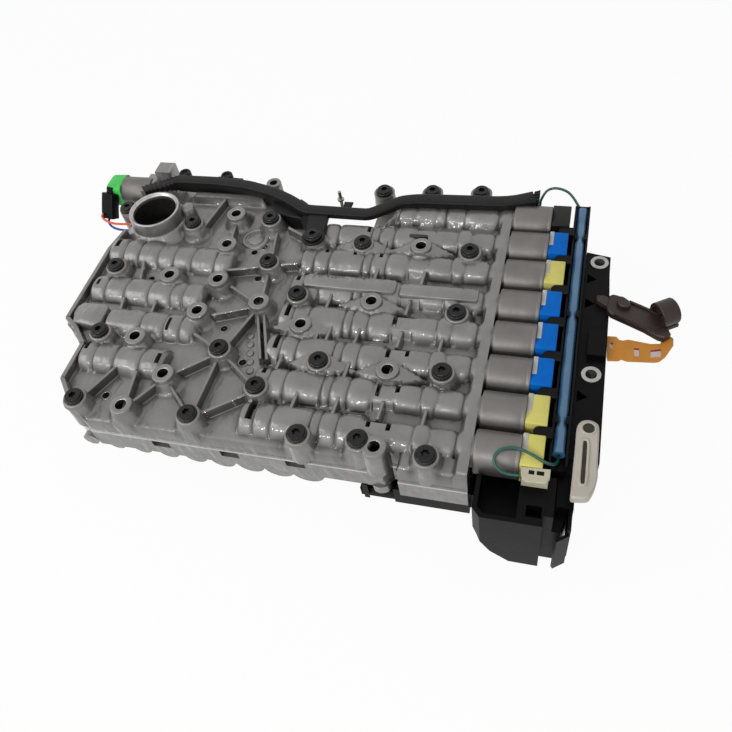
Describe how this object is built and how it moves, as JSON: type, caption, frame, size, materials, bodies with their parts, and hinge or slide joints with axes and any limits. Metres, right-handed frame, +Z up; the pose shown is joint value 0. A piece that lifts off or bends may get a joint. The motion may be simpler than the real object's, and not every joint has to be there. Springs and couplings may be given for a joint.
{
  "type": "transmission valve body",
  "caption": "Die-cast hydraulic valve body with spool valves, a row of plug-in solenoids, wiring rail, control unit and cable channel, for routing oil in an automatic gearbox.",
  "frame": {"origin": "centre of the part's box in plan, on the plane where the case bosses and the base plate end", "axes": "+X from the inlet port's end to the solenoids and the sensor arm, +Z up towards the bolt heads, +Y to the cable channel"},
  "size_m": [0.4342, 0.2559, 0.074],
  "materials": {
    "casting": "satin die-cast skin",
    "plate_steel": "plain rolled sheet",
    "plate_aluminium": "satin",
    "dark_steel": "dark phosphate coat",
    "bright_steel": "ground",
    "can_steel": "satin grey plating",
    "black_plastic": "fine matte grain",
    "blue_plastic": "satin",
    "yellow_plastic": "satin",
    "white_plastic": "satin",
    "brown_plastic": "satin",
    "green_plastic": "slightly glossy",
    "blue_tube": "translucent tube",
    "amber_foil": "clear amber film",
    "green_lead": "lead insulation",
    "orange_lead": "lead insulation",
    "blue_lead": "lead insulation"
  },
  "bodies": {
    "body": {"upper_housing": "casting", "separator_plate": "plate_steel", "lower_housing": "casting", "housing_bolts": "dark_steel", "rear_bolts": "dark_steel", "dowel_pin": "bright_steel", "valve_retainers": "dark_steel", "stop_plates": "dark_steel", "shift_plugs": "bright_steel", "main_springs": "dark_steel", "shift_springs": "dark_steel", "solenoid_1": "can_steel", "solenoid_2": "can_steel", "solenoid_3": "can_steel", "solenoid_4": "can_steel", "solenoid_5": "can_steel", "solenoid_6": "can_steel", "solenoid_7": "can_steel", "solenoid_8": "can_steel", "solenoid_cap_1": "black_plastic", "solenoid_cap_2": "blue_plastic", "solenoid_cap_3": "yellow_plastic", "solenoid_cap_4": "blue_plastic", "solenoid_cap_5": "blue_plastic", "solenoid_cap_6": "blue_plastic", "solenoid_cap_7": "yellow_plastic", "solenoid_cap_8": "yellow_plastic", "solenoid_screws": "dark_steel", "wiring_rail": "black_plastic", "lead_conduit": "blue_tube", "green_lead_lower": "green_lead", "green_lead_upper": "green_lead", "lead_plug": "white_plastic", "control_unit": "black_plastic", "unit_base_plate": "plate_aluminium", "unit_bushings": "bright_steel", "seal_bracket": "white_plastic", "sensor_arm": "brown_plastic", "sensor_foil": "amber_foil", "cable_channel": "black_plastic", "lock_solenoid": "can_steel", "lock_cap": "green_plastic", "lock_plug": "black_plastic", "orange_lead": "orange_lead", "blue_lead": "blue_lead"},
    "main_valve_2": {"main_spool_2": "bright_steel"},
    "main_valve_3": {"main_spool_3": "bright_steel"},
    "main_valve_4": {"main_spool_4": "bright_steel"},
    "main_valve_5": {"main_spool_5": "bright_steel"},
    "main_valve_6": {"main_spool_6": "bright_steel"},
    "main_valve_7": {"main_spool_7": "bright_steel"},
    "main_valve_8": {"main_spool_8": "bright_steel"},
    "shift_valve_1": {"shift_spool_1": "bright_steel"},
    "shift_valve_2": {"shift_spool_2": "bright_steel"},
    "shift_valve_3": {"shift_spool_3": "bright_steel"},
    "shift_valve_4": {"shift_spool_4": "bright_steel"}
  },
  "joints": [
    {"name": "main_slide_2", "type": "slide", "parent": "body", "child": "main_valve_2", "axis": [-1, 0, 0], "range_m": [0, 0.006], "stiffness_N_per_m": 300, "springref_m": -0.004, "deforming": ["main_springs"]},
    {"name": "main_slide_3", "type": "slide", "parent": "body", "child": "main_valve_3", "axis": [-1, 0, 0], "range_m": [0, 0.006], "stiffness_N_per_m": 300, "springref_m": -0.004, "deforming": ["main_springs"]},
    {"name": "main_slide_4", "type": "slide", "parent": "body", "child": "main_valve_4", "axis": [-1, 0, 0], "range_m": [0, 0.006], "stiffness_N_per_m": 300, "springref_m": -0.004, "deforming": ["main_springs"]},
    {"name": "main_slide_5", "type": "slide", "parent": "body", "child": "main_valve_5", "axis": [-1, 0, 0], "range_m": [0, 0.006], "stiffness_N_per_m": 300, "springref_m": -0.004, "deforming": ["main_springs"]},
    {"name": "main_slide_6", "type": "slide", "parent": "body", "child": "main_valve_6", "axis": [-1, 0, 0], "range_m": [0, 0.006], "stiffness_N_per_m": 300, "springref_m": -0.004, "deforming": ["main_springs"]},
    {"name": "main_slide_7", "type": "slide", "parent": "body", "child": "main_valve_7", "axis": [-1, 0, 0], "range_m": [0, 0.006], "stiffness_N_per_m": 300, "springref_m": -0.004, "deforming": ["main_springs"]},
    {"name": "main_slide_8", "type": "slide", "parent": "body", "child": "main_valve_8", "axis": [-1, 0, 0], "range_m": [0, 0.006], "stiffness_N_per_m": 300, "springref_m": -0.004, "deforming": ["main_springs"]},
    {"name": "shift_slide_1", "type": "slide", "parent": "body", "child": "shift_valve_1", "axis": [-1, 0, 0], "range_m": [0, 0.005], "stiffness_N_per_m": 300, "springref_m": -0.004, "deforming": ["shift_springs"]},
    {"name": "shift_slide_2", "type": "slide", "parent": "body", "child": "shift_valve_2", "axis": [-1, 0, 0], "range_m": [0, 0.005], "stiffness_N_per_m": 300, "springref_m": -0.004, "deforming": ["shift_springs"]},
    {"name": "shift_slide_3", "type": "slide", "parent": "body", "child": "shift_valve_3", "axis": [-1, 0, 0], "range_m": [0, 0.005], "stiffness_N_per_m": 300, "springref_m": -0.004, "deforming": ["shift_springs"]},
    {"name": "shift_slide_4", "type": "slide", "parent": "body", "child": "shift_valve_4", "axis": [-1, 0, 0], "range_m": [0, 0.005], "stiffness_N_per_m": 300, "springref_m": -0.004, "deforming": ["shift_springs"]}
  ]
}
